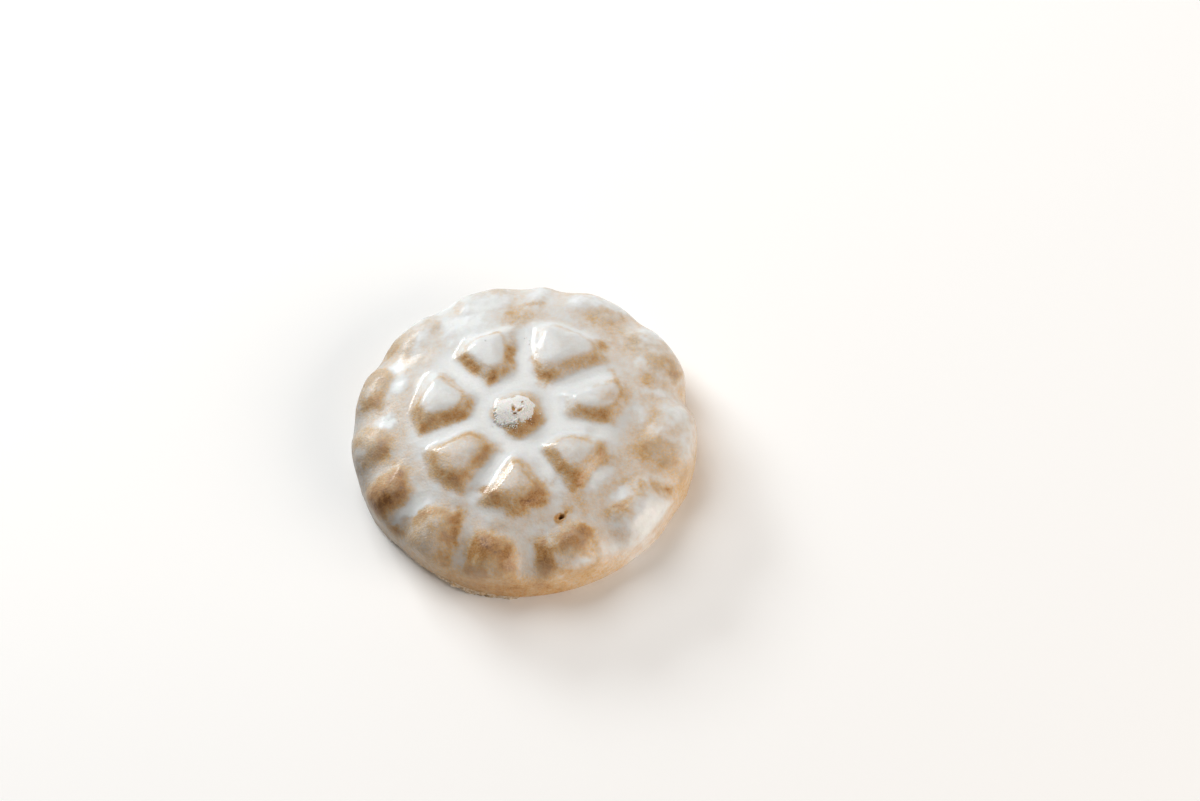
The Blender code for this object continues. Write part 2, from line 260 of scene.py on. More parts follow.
OUTER_STAINS_AND_HIGHLIGHTS = [
    (7, 28.2, 4, 1.1, 10, -0.20), (13, 26.8, 2.4, 1.6, 60, 0.16),
    (15.7, 32.5, 3.4, 2, 150, 0.24), (20, 35, 3.6, 3.2, 110, 0.12),
    (21, 30, 2.4, 1.6, 60, 0.12), (24, 41, 4, 2.4, 100, 0.12),
    (34, 29, 1.6, 1, 70, 0.30), (36, 25, 4.4, 2.2, 130, -0.10),
    (50, 31.7, 3.6, 2.4, 140, 0.14), (53, 28.4, 2.6, 1.6, 140, 0.05),
    (60, 24, 6.2, 3, 150, -0.14), (60, 30, 5, 1.6, 160, -0.06),
    (66, 34, 4, 3, 150, 0.12), (79, 27.6, 2.4, 0.7, 8, 0.30),
    (79, 41, 2.6, 1.4, 100, 0.20), (82, 22.6, 2.6, 1.9, 20, 0.12),
    (87, 24, 2.6, 1.8, 60, 0.24), (97, 28, 3.6, 2, 0, -0.08),
    # Painted highlights: the patches below zero from here to 172 degrees stand partly for pooled
    # glaze and partly for the lamps' glints on it.
    (110, 24.5, 5, 2.6, 20, -0.16), (111, 26.3, 4, 2.6, 20, -0.26),
    (111, 27.8, 3.4, 2, 20, -0.10), (111, 35.4, 3, 2.2, 70, -0.20),
    (126, 34.4, 3.6, 1.4, 30, -0.20), (128, 28.6, 3.2, 1.2, 55, -0.26),
    (139, 33.4, 2.6, 2, 110, 0.16), (145, 29.4, 1.6, 1.4, 0, -0.26),
    (154, 26.4, 2.4, 1.8, 60, -0.30), (159, 39.2, 5, 2, 130, 0.16),
    (160, 40.5, 4, 2.2, 60, 0.16), (162, 31.2, 3.4, 2, 10, 0.24),
    (172, 27.6, 1.8, 1.5, 60, -0.34), (174, 31.9, 3.6, 2, 60, 0.12),
    (184, 28.1, 2.6, 1.1, 90, 0.20), (188, 37, 9, 5, 98, 0.10),
    (194, 31.6, 3.6, 2.2, 100, 0.06), (197, 36.8, 3, 2, 80, 0.08),
    (199, 34.5, 4, 3.2, 100, 0.10), (201, 27.9, 3.4, 1.5, 105, 0.28),
    (203, 33.8, 4.2, 3.2, 20, 0.34), (206, 37, 6, 3.6, 110, 0.12),
    (206.5, 34.6, 4.2, 3, 10, 0.38), (207, 41.5, 5, 2.4, 30, -0.24),
    (208, 30.8, 3.6, 1.7, 340, 0.28), (212, 33, 9, 1.5, 20, -0.26),
    (215.5, 36.6, 2.8, 1.4, 150, 0.60), (217, 29.9, 5, 1.2, 14, -0.26),
    (220, 31.1, 6.2, 1.2, 0, 0.26), (224, 34, 2.2, 1.6, 30, 0.14),
    (229, 32.8, 3, 1.5, 140, -0.15), (230, 31.8, 3, 2, 20, 0.16),
    (236, 24.5, 1.5, 1.3, 330, 0.08), (237, 29, 5, 1.2, 66, 0.36),
    (242, 33.5, 3.6, 1.3, 62, 0.02), (243, 23, 4.2, 1.6, 335, -0.10),
    (247, 34.5, 2.4, 1.8, 70, 0.10), (250, 30.8, 3.2, 2.2, 350, 0.36),
    (252, 35.6, 4.2, 1.8, 0, 0.12), (253, 28.4, 1.7, 1.3, 300, 0.20),
    (259, 31.8, 2.2, 1.6, 80, 0.28), (268, 33.5, 3.6, 1.2, 90, -0.03),
    (274, 31.3, 3, 2, 100, 0.42), (279, 27.2, 4, 1.2, 350, -0.12),
    (279, 35.2, 3, 1.4, 0, 0.10), (280, 36.6, 4, 1.2, 10, 0.08),
    (283, 30.6, 3.4, 1.4, 0, 0.10), (284, 30.8, 5.2, 1.7, 12, 0.28),
    (285, 34.4, 4.4, 1.2, 0, -0.12), (288, 35, 3.6, 1.4, 20, -0.28),
    (289, 24.1, 1.1, 0.9, 40, 0.22), (292, 29.3, 1.8, 1.3, 20, 0.16),
    (300, 36.8, 2.6, 1.8, 30, -0.26), (305, 32.5, 3, 1.6, 20, -0.12),
    (307, 29, 2.6, 1, 35, 0.34), (310, 36.2, 5, 2.4, 40, -0.10),
    (313, 27.5, 4, 1.4, 42, -0.30), (313, 32.6, 2.8, 1.7, 40, -0.10),
    (315.5, 34.3, 4, 2.2, 40, -0.14), (317, 24.2, 2.6, 2, 30, -0.04),
    (323, 30.8, 4, 1.4, 15, 0.26), (326, 34.7, 1.8, 1.4, 30, 0.16),
    (329, 32.5, 3.6, 1.3, 0, -0.14), (338, 25.8, 3.8, 2.3, 60, 0.18),
    (339, 32.2, 3.4, 1.9, 130, 0.15), (352, 26.6, 2.4, 1.7, 90, 0.12),
    (353, 32.2, 3, 2.4, 90, -0.05), (354, 39.5, 5, 3.6, 90, 0.08),
    (355, 40, 6, 4, 85, 0.12), (356, 24.2, 2.4, 1.8, 90, -0.24),
]
MILLIMETRE = 0.001
STAIN_AND_HIGHLIGHT_WANDER = 0.0007  # how far the edges of the patches wander
STAIN_AND_HIGHLIGHT_EDGE = 1.3  # exponent of a patch's fall to its edge

# Directions around the middle in which the glaze lies differently; at 190 degrees painted shade
# darkens the surface, and at 335 degrees painted light brightens it.
REAR_LEFT = 150
LEFT = 180
PAINTED_SHADE_LEFT = 190
POOLED_FRONT = 248
LOW_FRONT = 260
FRONT = 265
PALE_RIM = 307
CLEAR_BOSS = 310
PAINTED_LIGHT_SIDE = 335
RIGHT = 345

# Distances from the middle where these zones begin, and the runs of their rises.
ANNULUS = (0.0175, 0.0075)
DIM_GLAZE = (0.0210, 0.0040)
REAR_TOPS = (0.0240, 0.0060)
# Where the painted shade at the left and behind begins, and the run of its rise.
PAINTED_SHADE_ZONE = (0.0300, 0.0070)
SIDE = (0.0342, 0.0052)

# Irregular patches: pitch of the largest ones and seed.
NOISES = {
    "broad": (0.0085, 3),  # the glaze
    "patchy": (0.0036, 4),
    "fine": (0.0014, 5),
    "stain_and_highlight_x": (0.0022, 11),
    "stain_and_highlight_y": (0.0022, 13),
    "pores": (0.0036, 21),  # the underside
    "creep": (0.0050, 23),
    "bake": (0.0090, 24),
    "speck": (0.0022, 25),
    "swell": (0.0070, 31),  # the side and the grooves
    "foot": (0.0042, 33),
    "bays": (0.0022, 51),  # the sugar crust
    "teeth": (0.0007, 52),
    "rims": (0.0007, 53),
    "grains": (0.00042, 54),
    "clumps": (0.0009, 55),
    "torn": (0.0012, 61),  # the flakes
}
NOISE_LAYERS = 3
LAYER_STEP = 2.1
LAYER_FADE = 0.6
NOISE_CELLS = 64

# Brownness of the grooves and of the bosses' tops.
GROOVE_BROWN = 0.05
ANNULUS_BROWNER = 0.27  # outside the ring of bosses
POOLED_WHITER = 0.12
REAR_WHITER = 0.06
RIGHT_BROWNER = 0.03
BOSS_START = 0.15  # in shares of the flank
BOSS_RUN = 0.75
RING_UNREST = 0.045
OUTER_UNREST = 0.16

# The brown band on a boss's flank, partly thin glaze and partly painted shade, and the thin line on
# its crest.
BAND_RUN = 0.0018
BAND_INSET = 0.0004
BAND_OUTSET = 0.0002
BAND_FOCUS = 1.1
CREST_INSET = 0.0001
CREST_WIDTH = 0.0005
RING_CREST = 0.15
OUTER_CREST = 0.05

# The side below the bosses, and how brown the surface can get.
SIDE_BROWN = 0.34
LOW_FRONT_BROWNER = 0.34
RIGHT_RIM_BROWNER = 0.20
PALE_RIM_WHITER = 0.26
PALE_RIM_WIDTH = 0.34  # radians
BARE_BROWN = 0.80
MUCH_BROWN = 0.74  # above this only a share is added
MUCH_BROWN_SHARE = 0.3

# The dull film, the shine, and the painted light and shade that make the surface lighter or darker
# than its own colour.
FILM = 0.04
RING_FILM = 0.12
OUTER_FILM = 0.50
FRONT_FILM = 0.22
LEFT_FILM = 0.35
FILM_FADE = 0.35
CLEAR_SHARE = 0.7
CLEAR_WIDTH = 0.22  # radians
DIM_ALL = 0.15
DIM_LEFT = 0.60
# Painted shade darkens the left and the rear left; painted light brightens the low front, the
# right, and the zone outside the ring of bosses at 335 degrees. The last value caps how bright the
# surface can be made.
LEFT_PAINTED_SHADE = 0.24
REAR_PAINTED_SHADE = 0.22
LOW_FRONT_PAINTED_LIGHT = 0.24
RIGHT_PAINTED_LIGHT = 0.06
ANNULUS_PAINTED_LIGHT = 0.08
LIGHTEST_PAINTED_LIGHT = 1.3
# Spots of painted shade; the first darkens the crest of a boss where a lamp lights it.
PAINTED_SHADE_SPOTS = [  # angle, distance, half width in radians, reach, strength
    (207, 0.0325, 0.12, 0.0040, 0.14),
    (281, 0.0312, 0.10, 0.0030, 0.12),
]

# The underside.
PORE_DEPTH = 0.00012
BASE_LIFT = 0.00004
BASE_SHINE = 0.15
BASE_BROWN = 0.70
BAKE_UNREST = 0.14
SPECK_UNREST = 0.08
CREPT_BROWN = 0.34  # glaze that crept in under the edge
CREPT_REACH = 1.3
CREPT_RUN = 0.0015
CREPT_WANDER = 0.0007

# Mesh.
CROWDED_SPOTS = [  # angle, distance, reach and strength of the closer spacing
    (285, 0.0252, 0.0016, 0.62),
    (40, 0.0004, 0.0060, 0.25),
]
RING_STEP = 0.00030
SPOKES_PER_RING = 6
MOST_SPOKES = 700
BASE_STEP = 0.0008
BASE_THINNING = 0.8
BASE_SPARSE = 2.2
LEAST_SPOKES = 8
EDGE_LIFT = 0.00002  # least height of the side above the tray
PROFILE_SAMPLES = 2000

# Soft boxes: name, the stage's power, width and height, direction, distance and colour.
SOFT_BOXES = [
    ("key_light", "key_power", (0.30, 0.16), (-0.50, 0.78, 0.37), 0.8, (0.95, 0.99, 1.0)),
    ("back_light", "back_power", (1.3, 0.45), (-0.25, 1.0, 0.20), 1.1, (0.96, 0.985, 1.0)),
    ("fill_light", "fill_power", (0.9, 0.7), (0.76, -0.54, 0.34), 1.0, (1.0, 0.90, 0.80)),
    ("top_light", "top_power", (1.0, 0.8), (-0.35, 0.60, 1.0), 1.2, (0.97, 0.99, 1.0)),
]
FLOOR_HALF = 1.5


def metres_prop(name, description, default):
    """Setting for a length."""
    return FloatProperty(name=name, description=description, default=default, unit="LENGTH")


def watts_prop(name, description, default):
    """Setting for a lamp's power."""
    return FloatProperty(name=name, description=description, default=default, unit="POWER")


def degrees_prop(name, description, degrees):
    """Setting for an angle."""
    return FloatProperty(
        name=name, description=description, default=math.radians(degrees), subtype="ANGLE")


def factor_prop(name, description, default):
    """Setting between 0 and 1."""
    return FloatProperty(
        name=name, description=description, default=default, min=0, max=1, subtype="FACTOR")


def colour_prop(name, description, *default):
    """Setting for a solid colour."""
    return FloatVectorProperty(
        name=name, description=description, default=(*default, 1), size=4, min=0, max=1,
        subtype="COLOR")


class CookieForm(PropertyGroup):
    """Sizes of the cookie."""

    widest_radius: metres_prop(
        "Widest radius", "Groove floor at the widest level of the side", 0.0348)
    widest_height: metres_prop(
        "Widest height", "Level of the widest ring above the base", 0.0051)
    base_radius: metres_prop("Base radius", "Edge of the flat base", 0.0341)
    dome_height: metres_prop("Dome height", "Groove floor at the middle of the top", 0.0156)
    dome_fullness: FloatProperty(
        name="Dome fullness", description="Exponent of the dome: higher is flatter on top",
        default=3.1)
    middle_height: metres_prop("Middle boss", "Rise of the middle boss", 0.0025)
    ring_height: metres_prop("Ring bosses", "Rise of the ring of seven bosses", 0.0025)
    outer_height: metres_prop("Outer bosses", "Rise of the outer bosses", 0.0019)
    outer_height_drift: metres_prop(
        "Outer drift", "The outer bosses are higher in front, lower behind, by this", 0.00065)
    inner_flank: metres_prop(
        "Inner flank", "Run of the bevelled edge of the middle and ring bosses", 0.0020)
    outer_flank: metres_prop(
        "Outer flank", "Run of the bevelled edge of the outer bosses", 0.0024)
    corner_rounding: metres_prop(
        "Corner rounding", "How softly the sides of a boss meet", 0.0006)


class CookieFinish(PropertyGroup):
    """Colours and gloss of dough, glaze and sugar."""

    pool: colour_prop("Pooled glaze", "Set sugar glaze where it pooled", 0.715, 0.725, 0.72)
    glaze: colour_prop("Glaze", "Set sugar glaze on the bosses", 0.615, 0.615, 0.605)
    cream: colour_prop(
        "Thin glaze", "Glaze that lets the dough show through", 0.57, 0.470, 0.375)
    tan: colour_prop("Pale dough", "Dough under the thinnest film of glaze", 0.52, 0.350, 0.178)
    brown: colour_prop("Brown dough", "Dough where it baked well", 0.40, 0.192, 0.052)
    dark: colour_prop("Dark dough", "Dough where it browned most", 0.17, 0.072, 0.020)
    haze: colour_prop("Glaze haze", "Dull film of glaze over dough", 0.47, 0.43, 0.375)
    sugar: colour_prop("Sugar", "Crumbly dry sugar", 0.74, 0.725, 0.70)
    # Painted shade: the darker colour that the sugar takes between its grains, where its bump dips.
    sugar_painted_shade: colour_prop("Sugar shade", "Sugar between its grains", 0.52, 0.45, 0.37)
    flake: colour_prop("Flakes", "Pale flakes torn at the base", 0.74, 0.66, 0.55)
    roughness: factor_prop("Roughness", "Roughness under the glaze's gloss", 0.45)
    gloss: factor_prop("Gloss", "Strength of the glaze's clear gloss", 0.6)


class CookieStage(PropertyGroup):
    """Floor, lights and camera."""

    floor: colour_prop("Floor", "Colour of the floor", 0.96, 0.955, 0.95)
    key_power: watts_prop(
        "Key light", "Power of the small bright soft box behind the cookie", 4.0)
    back_power: watts_prop(
        "Back light", "Power of the broad pale panel low behind the cookie", 2.0)
    fill_power: watts_prop(
        "Fill light", "Power of the warm soft box at the right front", 8.0)
    top_power: watts_prop(
        "Top light", "Power of the large soft box overhead, towards the back", 8.7)
    sky: FloatProperty(
        name="Room light", description="Brightness of the room all round", default=0.16)
    sky_colour: colour_prop("Room colour", "Colour of the room all round", 1.0, 0.92, 0.85)
    elevation: degrees_prop("Camera elevation", "Angle of the view above the floor", 57.5)
    roll: degrees_prop("Camera roll", "Turn of the camera about its own axis", -6.75)
    distance: metres_prop("Camera distance", "From the camera to the middle of the base", 0.7693)
    field: degrees_prop("Field of view", "Angle that the picture's width takes in", 18)
    aside: FloatVectorProperty(
        name="Aside", description="How far the cookie lies right of and above the picture's middle",
        size=2, default=(-0.01554, -0.01126), unit="LENGTH")


# ---- the moulded form


def dome_profile(form):
    """Distance over the surface, radius and height, from the middle of the top to the base."""
    turn = np.linspace(0, math.pi / 2, PROFILE_SAMPLES)
    top_radius = form.widest_radius * np.sin(turn)
    rise = np.sqrt(np.clip(1 - np.sin(turn) ** form.dome_fullness, 0, 1))
    top_height = form.widest_height + (form.dome_height - form.widest_height) * rise
    side_radius = form.base_radius + (form.widest_radius - form.base_radius) * np.cos(turn[1:])
    side_height = form.widest_height * (1 - np.sin(turn[1:]))
    radius = np.concatenate([top_radius, side_radius])
    height = np.concatenate([top_height, side_height])
    steps = np.hypot(np.diff(radius), np.diff(height))
    distance = np.concatenate([[0], np.cumsum(steps)])
    return distance, radius, height


def whole_run(form):
    """Distance over the surface from the middle of the top to the base."""
    return dome_profile(form)[0][-1]


def outline_stretch(form, angle):
    """Stretch of the round profile that puts the outline's centre off the mould's centre."""
    shift_x, shift_y = PATTERN_SHIFT
    along = shift_x * np.cos(angle) + shift_y * np.sin(angle)
    across = form.widest_radius ** 2 - shift_x ** 2 - shift_y ** 2
    return (along + np.sqrt(along ** 2 + across)) / form.widest_radius


def away_from(angle, degrees):
    """Signed turn, in radians, from a direction around the middle."""
    return np.angle(np.exp(1j * (angle - math.radians(degrees))))


def beyond(distance, start, run):
    """0 up to a distance, then rising to 1."""
    return smooth_ramp((distance - start) / run)


def bell(value):
    """1 at zero, falling smoothly towards 0 beyond 1 on either side."""
    return np.exp(-value ** 2)


def pressed_in(angle, distance):
    """How far the side is pressed in at points of the flat pattern."""
    depth = np.zeros_like(distance)
    for middle, half_width, most in PRESSES:
        depth += most * bell(away_from(angle, middle) / math.radians(half_width))
    return depth * beyond(distance, *PRESS_BEYOND)


def polar(angle_degrees, distance):
    """Point of the flat pattern at an angle and a distance from the middle."""
    angle = math.radians(angle_degrees)
    return distance * math.cos(angle), distance * math.sin(angle)


def turned(x, y, degrees):
    """Share of x and y along a direction and square to it."""
    lean = math.radians(degrees)
    along = x * math.cos(lean) + y * math.sin(lean)
    return along, y * math.cos(lean) - x * math.sin(lean)


def boss_cells():
    """Centre, weight and ring number of every cell of the pattern."""
    cells = []
    for ring, bosses in enumerate((MIDDLE_BOSS, RING_BOSSES)):
        for angle, distance, weight, *_ in bosses:
            cells.append((*polar(angle, distance), weight, ring))
    for angle, weight, *_ in OUTER_BOSSES:
        cells.append((*polar(angle, OUTER_DISTANCE), weight, 2))
    return np.array(cells)


def boss_brown_and_shade():
    """Brownness of the top, brownness and painted shade of the edge, and the direction in which the
    edge is brownest and most shaded, for each cell.
    """
    rows = [row[3:] for row in MIDDLE_BOSS + RING_BOSSES] + [row[2:] for row in OUTER_BOSSES]
    return np.array(rows)


def half_groove(own_ring, other_ring, angle):
    """Distance from a cell's border to the foot of its boss."""
    drift = GROOVE_DRIFT * np.cos(2 * (angle - math.radians(GROOVE_DRIFT_ANGLE)))
    if own_ring == 0:
        return MIDDLE_MOAT
    if own_ring == 1 and other_ring == 0:
        return INNER_GROOVE
    if own_ring == 1 and other_ring == 2:
        return OUTER_GROOVE + drift
    if own_ring == 2 and other_ring == 1:
        return SHOULDER_GROOVE + drift
    return SIDE_GROOVE


def depth_inside_boss(form, x, y):
    """How far each point lies inside the foot of its boss, the boss's ring and its number."""
    cells = boss_cells()
    rings = cells[:, 3].astype(int)
    angle = np.arctan2(y, x)
    power = np.stack([(x - cx) ** 2 + (y - cy) ** 2 - weight for cx, cy, weight, _ in cells])
    own = np.argmin(power, axis=0)
    own_power = np.min(power, axis=0)
    walls = [RIM_DISTANCE - np.hypot(x, y)]
    for other in range(len(cells)):
        wall = np.full(x.shape, np.inf)
        for cell in range(len(cells)):
            here = own == cell
            if cell == other or not here.any():
                continue
            span = np.hypot(*(cells[cell, :2] - cells[other, :2]))
            gap = half_groove(rings[cell], rings[other], angle[here])
            wall[here] = (power[other][here] - own_power[here]) / (2 * span) - gap
        walls.append(wall)
    walls = np.stack(walls)
    nearest = walls.min(axis=0)
    blend = np.exp((nearest - walls) / form.corner_rounding).sum(axis=0)
    return nearest - form.corner_rounding * np.log(blend), rings[own], own


def smooth_ramp(value):
    """Rise from 0 to 1 with level ends."""
    value = np.clip(value, 0, 1)
    return value * value * (3 - 2 * value)


def ripples(x, y, pitch):
    """Smooth, irregular waves between about -1 and 1."""
    turns = 2 * math.pi / pitch
    first, second, third = (
        np.sin(turns * (along * x + across * y) + phase) for along, across, phase in WAVES)
    return (first * second + third) / 2


def bent(x, y):
    """The flat pattern's points moved a little, so that no boss has a ruled edge."""
    bent_x = x + WARP_SIZE * ripples(y, x, WARP_PITCH)
    bent_y = y + WARP_SIZE * ripples(x + WARP_PITCH, y, WARP_PITCH)
    return bent_x, bent_y


def relief(form, x, y):
    """Height of the mould's relief above the groove floor at points of the flat pattern."""
    depth, ring, _ = depth_inside_boss(form, *bent(x, y))
    outer_height = form.outer_height - form.outer_height_drift * np.sin(np.arctan2(y, x))
    height = np.choose(ring, (form.middle_height, form.ring_height, outer_height))
    width = np.choose(ring, (form.inner_flank, form.inner_flank, form.outer_flank))
    climbed = FOOT_SOFTNESS * np.logaddexp(0, depth / FOOT_SOFTNESS)
    climbed -= CREST_SOFTNESS * np.logaddexp(0, (depth - width) / CREST_SOFTNESS)
    flank = climbed / width
    crown = 1 - np.exp(-np.maximum(depth - width, 0) / CROWN_RUN)
    distance = np.hypot(x, y)
    fade = smooth_ramp((FADE_END - distance) / FADE_RUN)
    run = whole_run(form)
    lumps = LUMP_SIZE * ripples(x, y, LUMP_PITCH) * smooth_ramp((run - distance) / FADE_RUN)
    return height * fade * ((1 - CROWN_SHARE) * flank + CROWN_SHARE * crown) + lumps


def surface_points(form, x, y, rise):
    """Points that stand a given rise proud of the smooth dome, from points of the pattern."""
    distances, radii, heights = dome_profile(form)
    angle = np.arctan2(y, x)
    distance = np.hypot(x, y)
    ahead = np.clip(distance + SLOPE_REACH, 0, distances[-1])
    behind = np.clip(distance - SLOPE_REACH, 0, distances[-1])
    run = np.interp(ahead, distances, radii) - np.interp(behind, distances, radii)
    drop = np.interp(behind, distances, heights) - np.interp(ahead, distances, heights)
    length = np.hypot(run, drop)
    radius = np.interp(distance, distances, radii) + rise * drop / length
    height = np.interp(distance, distances, heights) + rise * run / length
    radius = radius * outline_stretch(form, angle) - pressed_in(angle, distance)
    return np.stack([radius * np.cos(angle), radius * np.sin(angle), height], axis=-1)


def glaze_swell(x, y):
    """Low, soft waves that the glaze set in, strongest between the rings of bosses."""
    distance = np.hypot(x, y)
    between = bell((distance - BETWEEN_RINGS) / BETWEEN_REACH)
    share = SWELL_EVERYWHERE + (1 - SWELL_EVERYWHERE) * between
    swell = share * noise("swell", x, y)
    return SWELL_SIZE * swell * smooth_ramp((RIM_DISTANCE - distance) / SWELL_FADE)


def pinhole_sink(x, y):
    """How deep the pinhole and its pit sink below the surface, and where they lie bare."""
    sink = np.zeros_like(x)
    bare = np.zeros_like(x)
    for angle, distance, radius, depth in PINHOLES:
        hole_x, hole_y = polar(angle, distance)
        turn = np.arctan2(y - hole_y, x - hole_x)
        uneven = sum(size * np.sin(number * turn + phase) for number, phase, size in HOLE_WAVES)
        edge = radius * (1 + uneven)
        away = np.hypot(x - hole_x, y - hole_y) / edge
        sink += depth * smooth_ramp(HOLE_WALL - away)
        sink -= LIP_RISE * radius * bell((away - LIP_PLACE) / LIP_WIDTH)
        bare_x = hole_x - BARE_SHIFT[0] * radius
        bare_y = hole_y - BARE_SHIFT[1] * radius
        bare_away = np.hypot(x - bare_x, y - bare_y) / edge
        bare = np.maximum(bare, smooth_ramp(BARE_REACH - bare_away))
    return sink, bare


def lifted_edge(angle):
    """How high the lower edge of the side stands off the tray."""
    away = away_from(angle, UNDERCUT_ANGLE) / math.radians(UNDERCUT_HALF_ANGLE)
    return UNDERCUT_HEIGHT * np.exp(-away ** 4)


def foot_swell(form, x, y):
    """The rolled lower edge of the side, undercut where the edge lifted off the tray."""
    above = whole_run(form) - np.hypot(x, y)
    roll = bell((above - FOOT_ROLL_HEIGHT) / FOOT_ROLL_WIDTH)
    roll *= 0.5 + 0.5 * noise("foot", x, y)
    lifted = lifted_edge(np.arctan2(y, x))
    below = smooth_ramp((lifted + UNDERCUT_LIP / 2 - above) / UNDERCUT_LIP)
    return FOOT_ROLL * roll - UNDERCUT * lifted / UNDERCUT_HEIGHT * below


# ---- glaze on the form


def patches(x, y, pitch, seed):
    """Irregular patches between about -1 and 1, the largest about one pitch across."""
    draw = np.random.default_rng(seed)
    total = np.zeros_like(x)
    for layer in range(NOISE_LAYERS):
        values = draw.uniform(-1, 1, (NOISE_CELLS, NOISE_CELLS))
        turn = draw.uniform(0, 2 * math.pi)
        size = pitch / LAYER_STEP ** layer
        u = (x * math.cos(turn) - y * math.sin(turn)) / size + draw.uniform(0, NOISE_CELLS)
        v = (x * math.sin(turn) + y * math.cos(turn)) / size + draw.uniform(0, NOISE_CELLS)
        column = np.floor(u).astype(int) % NOISE_CELLS
        row = np.floor(v).astype(int) % NOISE_CELLS
        right = (column + 1) % NOISE_CELLS
        above = (row + 1) % NOISE_CELLS
        share_u = smooth_ramp(u - np.floor(u))
        share_v = smooth_ramp(v - np.floor(v))
        low = values[row, column] * (1 - share_u) + values[row, right] * share_u
        high = values[above, column] * (1 - share_u) + values[above, right] * share_u
        total += (low * (1 - share_v) + high * share_v) * LAYER_FADE ** layer
    return total


def stains_and_highlights(x, y):
    """How far the glaze ran thin (above zero) or pooled (below zero) in its uneven patches; some
    pale patches behind on the left are partly painted highlights.
    """
    wander_x = x + STAIN_AND_HIGHLIGHT_WANDER * noise("stain_and_highlight_x", x, y)
    wander_y = y + STAIN_AND_HIGHLIGHT_WANDER * noise("stain_and_highlight_y", x, y)
    total = np.zeros_like(x)
    for angle, distance, length, width, turn, strength in RING_STAINS + OUTER_STAINS_AND_HIGHLIGHTS:
        spot_x, spot_y = polar(angle, distance * MILLIMETRE)
        along, across = turned(wander_x - spot_x, wander_y - spot_y, turn)
        away = (along / (length * MILLIMETRE)) ** 2 + (across / (width * MILLIMETRE)) ** 2
        total += strength * np.exp(-away ** STAIN_AND_HIGHLIGHT_EDGE)
    return total


def noise(name, x, y):
    """One of the named patches."""
    return patches(x, y, *NOISES[name])


def edge_direction(form, x, y):
    """Direction in which the nearest edge of its boss looks, from the pattern's own plane."""
    across, along = (
        depth_inside_boss(form, *bent(x + step_x, y + step_y))[0]
        - depth_inside_boss(form, *bent(x - step_x, y - step_y))[0]
        for step_x, step_y in ((EDGE_STEP, 0), (0, EDGE_STEP)))
    return np.arctan2(-along, -across)


class Ground:
    """What the glaze goes by at points of the flat pattern."""

    def __init__(self, form, x, y):
        self.x, self.y = x, y
        self.angle = np.arctan2(y, x)
        self.distance = np.hypot(x, y)
        self.depth, ring, own = depth_inside_boss(form, *bent(x, y))
        self.outer = ring == 2
        self.top_brown, self.band_brown, self.brown_and_shade_bearing = boss_brown_and_shade()[own].T
        self.flank = np.where(self.outer, form.outer_flank, form.inner_flank)
        self.on_boss = smooth_ramp(BOSS_START + self.depth / (BOSS_RUN * self.flank))
        self.annulus = beyond(self.distance, *ANNULUS)
        self.side = beyond(self.distance, *SIDE)
        self.right = 0.5 + 0.5 * np.cos(self.angle - math.radians(RIGHT))
        self.noises = [noise(name, x, y) for name in ("broad", "patchy", "fine")]

    def towards(self, degrees, focus=1):
        """1 in a direction around the middle, 0 from a quarter turn away."""
        return np.clip(np.cos(self.angle - math.radians(degrees)), 0, 1) ** focus

    def stir(self, broad, patchy, fine=0.0):
        """The three noises added up with the given weights."""
        return sum(share * part for share, part in zip((broad, patchy, fine), self.noises))


def plain_brown(ground):
    """Brownness of the grooves and of the bosses' tops."""
    rear_whiter = REAR_WHITER * ground.towards(REAR_LEFT)
    browner = ANNULUS_BROWNER - POOLED_WHITER * ground.towards(POOLED_FRONT, 3) - rear_whiter
    browner += RIGHT_BROWNER * ground.right + ground.stir(0.08, 0.06)
    groove = GROOVE_BROWN + ground.annulus * browner
    unrest = np.where(ground.outer, OUTER_UNREST, RING_UNREST) * ground.stir(0.7, 0.7, 0.3)
    brown = groove * (1 - ground.on_boss) + (ground.top_brown + unrest) * ground.on_boss
    return brown - rear_whiter * beyond(ground.distance, *REAR_TOPS)


def edge_brown_and_shade(form, ground):
    """How much browner the flanks and crests of the bosses are; the band on the flanks is partly
    painted shade.
    """
    inside = ground.depth - ground.flank + ground.stir(0, 0.0004, 0.0002)
    outside = ground.depth + BAND_OUTSET + ground.stir(0, 0.0003)
    band = smooth_ramp(0.5 - (inside - BAND_INSET) / BAND_RUN)
    band *= smooth_ramp(0.5 + outside / BAND_RUN)
    # Painted shade: the band is strongest where the flank faces the boss's given direction, for the
    # ring of bosses towards the viewer and away from the lamps behind.
    swing = edge_direction(form, ground.x, ground.y) - np.radians(ground.brown_and_shade_bearing)
    shade_facing = 0.5 + 0.5 * np.cos(swing)
    band *= shade_facing ** BAND_FOCUS * (1 + ground.stir(0.20, 0.35, 0.15))
    crest = bell((inside - CREST_INSET) / CREST_WIDTH) * (1 - 0.6 * shade_facing)
    crest *= np.where(ground.outer, OUTER_CREST, RING_CREST) * (1 + ground.stir(0, 0.8))
    return ground.band_brown * band + crest


def side_brown(ground):
    """Brownness of the side below the bosses."""
    pale = bell(away_from(ground.angle, PALE_RIM) / PALE_RIM_WIDTH)
    brown = SIDE_BROWN + LOW_FRONT_BROWNER * ground.towards(LOW_FRONT, 3)
    brown += RIGHT_RIM_BROWNER * ground.right ** 4 - PALE_RIM_WHITER * pale
    return brown + ground.stir(0.05, 0.06)


